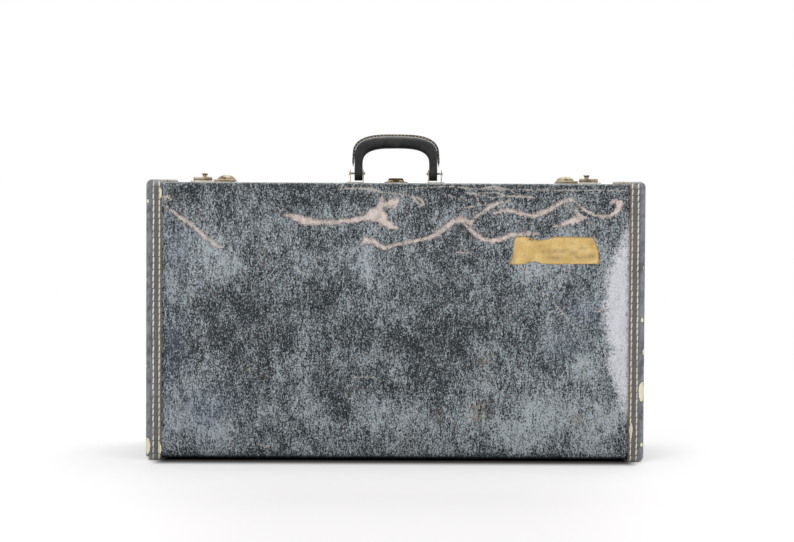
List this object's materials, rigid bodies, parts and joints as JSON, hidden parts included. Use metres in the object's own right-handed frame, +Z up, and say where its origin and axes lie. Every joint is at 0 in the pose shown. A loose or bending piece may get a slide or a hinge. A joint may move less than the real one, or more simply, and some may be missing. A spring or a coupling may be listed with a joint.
{
  "type": "hard suitcase",
  "caption": "Hard-sided suitcase with leather-bound ends, a bottom-hinged front lid, a folding carrying handle, spring latches and a key lock.",
  "frame": {"origin": "bottom centre of the bounding box, on the floor under the standing case", "axes": "+X along the case's length to the right as seen from the lid side, +Y from the lid to the back, +Z up through the handle"},
  "size_m": [0.61, 0.178, 0.4025],
  "materials": {
    "covering": "mottled slate blue leathercloth, satin, scuffed",
    "lining_paper": "plain lining paper, matt",
    "frame_wood": "bare light wood",
    "binding_leather": "dark leather, satin, worn at the edges",
    "grip_leather": "dark polished leather",
    "hinge_metal": "dull plated steel",
    "plain_steel": "plain steel",
    "bracket_metal": "copper-toned plated steel",
    "latch_plating": "tarnished pale plating, satin",
    "dark_brass": "darkened brass, satin"
  },
  "bodies": {
    "base": {"base_shell": "covering", "mouth_frame": "frame_wood", "base_lining": "lining_paper", "base_left_binding": "binding_leather", "base_right_binding": "binding_leather", "left_hinge_base_leaf": "hinge_metal", "left_hinge_pin": "plain_steel", "left_handle_bracket": "bracket_metal", "left_handle_pin": "plain_steel", "left_latch_plate": "latch_plating", "left_latch_housing": "latch_plating", "left_return_spring": "plain_steel", "right_hinge_base_leaf": "hinge_metal", "right_hinge_pin": "plain_steel", "right_handle_bracket": "bracket_metal", "right_handle_pin": "plain_steel", "right_latch_plate": "latch_plating", "right_latch_housing": "latch_plating", "right_return_spring": "plain_steel", "centre_lock_plate": "latch_plating", "centre_lock_case": "latch_plating"},
    "lid": {"lid_shell": "covering", "lid_lining": "lining_paper", "lid_left_binding": "binding_leather", "lid_right_binding": "binding_leather", "left_hinge_lid_leaf": "hinge_metal", "left_hasp_leaf": "latch_plating", "left_hasp_pin": "plain_steel", "right_hinge_lid_leaf": "hinge_metal", "right_hasp_leaf": "latch_plating", "right_hasp_pin": "plain_steel", "centre_hasp_leaf": "latch_plating", "centre_hasp_pin": "plain_steel"},
    "handle": {"handle_grip": "grip_leather", "handle_seam_fin": "grip_leather"},
    "left_slide": {"left_latch_slider": "plain_steel", "left_latch_knob": "latch_plating", "left_catch_spring": "plain_steel"},
    "left_hasp_body": {"left_hasp": "latch_plating"},
    "right_slide": {"right_latch_slider": "plain_steel", "right_latch_knob": "latch_plating", "right_catch_spring": "plain_steel"},
    "right_hasp_body": {"right_hasp": "latch_plating"},
    "centre_hasp_body": {"centre_hasp": "dark_brass"},
    "key_plug": {"centre_key_plug": "dark_brass"}
  },
  "joints": [
    {"name": "lid_hinge", "type": "hinge", "parent": "base", "child": "lid", "pos_m": [0, -0.027, 0.0025], "axis": [1, 0, 0], "range_deg": [0, 105]},
    {"name": "handle_swing", "type": "hinge", "parent": "base", "child": "handle", "pos_m": [0, 0.003, 0.3528], "axis": [-1, 0, 0], "range_deg": [-80, 90]},
    {"name": "left_latch_slide", "type": "slide", "parent": "base", "child": "left_slide", "axis": [-1, 0, 0], "range_m": [0, 0.006], "stiffness_N_per_m": 400, "springref_m": -0.002, "deforming": ["left_return_spring"]},
    {"name": "right_latch_slide", "type": "slide", "parent": "base", "child": "right_slide", "axis": [1, 0, 0], "range_m": [0, 0.006], "stiffness_N_per_m": 400, "springref_m": -0.002, "deforming": ["right_return_spring"]},
    {"name": "left_hasp_lift", "type": "hinge", "parent": "lid", "child": "left_hasp_body", "pos_m": [-0.21335, -0.031, 0.34315], "axis": [1, 0, 0], "range_deg": [0, 110], "deforming": ["left_catch_spring"]},
    {"name": "right_hasp_lift", "type": "hinge", "parent": "lid", "child": "right_hasp_body", "pos_m": [0.21335, -0.031, 0.34315], "axis": [1, 0, 0], "range_deg": [0, 110], "deforming": ["right_catch_spring"]},
    {"name": "centre_hasp_lift", "type": "hinge", "parent": "lid", "child": "centre_hasp_body", "pos_m": [0, -0.031, 0.34295], "axis": [1, 0, 0], "range_deg": [0, 110]},
    {"name": "key_turn", "type": "hinge", "parent": "base", "child": "key_plug", "pos_m": [0, -0.005, 0.3442], "axis": [0, 0, -1], "range_deg": [0, 90]}
  ]
}
